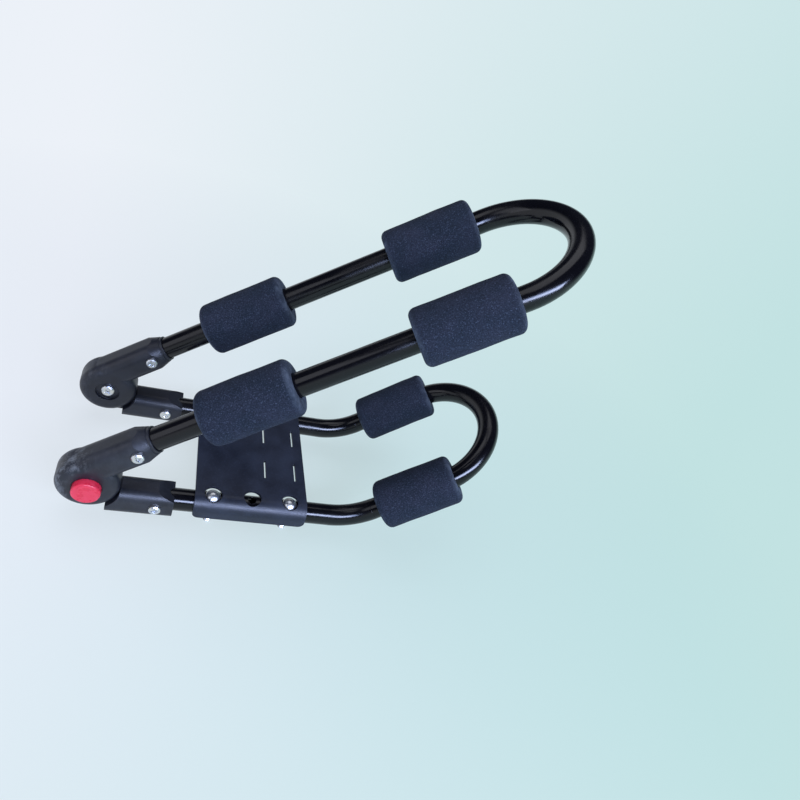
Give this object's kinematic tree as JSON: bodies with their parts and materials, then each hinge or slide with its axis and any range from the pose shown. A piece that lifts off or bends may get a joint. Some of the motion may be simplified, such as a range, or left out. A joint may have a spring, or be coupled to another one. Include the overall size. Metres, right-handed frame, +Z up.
{
  "type": "kayak roof rack",
  "caption": "Folding J-shaped kayak roof rack: two bent tube frames with foam pads on a push-button hinge, with a bolt-on bracket for a roof bar.",
  "frame": {"origin": "Middle of the bracket plate's underside, the face that sits on the roof bar.", "axes": "+X runs from the hinge towards the bent ends, +Y from the rack's right arm to its left arm, +Z up from the roof bar."},
  "size_m": [0.4244, 0.182, 0.374],
  "materials": {
    "black_enamel": "gloss black enamel on bent steel tube",
    "black_powder_coat": "satin black powder coat on formed sheet steel",
    "black_nylon": "moulded black glass-filled nylon, scuffed on the heads",
    "foam": "dark closed-cell foam with a fine speckle",
    "red_plastic": "moulded red plastic",
    "zinc_steel": "bright zinc-plated steel"
  },
  "bodies": {
    "base": {"lower_frame_tube": "black_enamel", "mounting_bracket": "black_powder_coat", "mounting_bolts": "zinc_steel", "right_lower_housing": "black_nylon", "left_lower_housing": "black_nylon", "lower_housing_screws": "zinc_steel", "right_lower_foam": "foam", "left_lower_foam": "foam"},
    "arm": {"upper_frame_tube": "black_enamel", "right_upper_housing": "black_nylon", "left_upper_housing": "black_nylon", "upper_housing_screws": "zinc_steel", "right_first_foam": "foam", "right_second_foam": "foam", "left_first_foam": "foam", "left_second_foam": "foam", "right_pin_barrel": "zinc_steel", "left_pin_barrel": "zinc_steel", "right_pin_screw": "zinc_steel", "left_pin_screw": "zinc_steel", "right_button_spring": "zinc_steel", "left_button_spring": "zinc_steel"},
    "right_push": {"right_button": "red_plastic", "right_lock_gear": "zinc_steel"},
    "left_push": {"left_button": "red_plastic", "left_lock_gear": "zinc_steel"}
  },
  "joints": [
    {"name": "fold", "type": "hinge", "parent": "base", "child": "arm", "pos_m": [-0.1515, 0, 0.0087], "axis": [0, -1, 0], "range_deg": [-15, 75]},
    {"name": "right_button_press", "type": "slide", "parent": "arm", "child": "right_push", "axis": [0, 1, 0], "range_m": [0, 0.0035], "stiffness_N_per_m": 1500, "springref_m": -0.002, "deforming": ["right_button_spring"]},
    {"name": "left_button_press", "type": "slide", "parent": "arm", "child": "left_push", "axis": [0, -1, 0], "range_m": [0, 0.0035], "stiffness_N_per_m": 1500, "springref_m": -0.002, "deforming": ["left_button_spring"]}
  ]
}
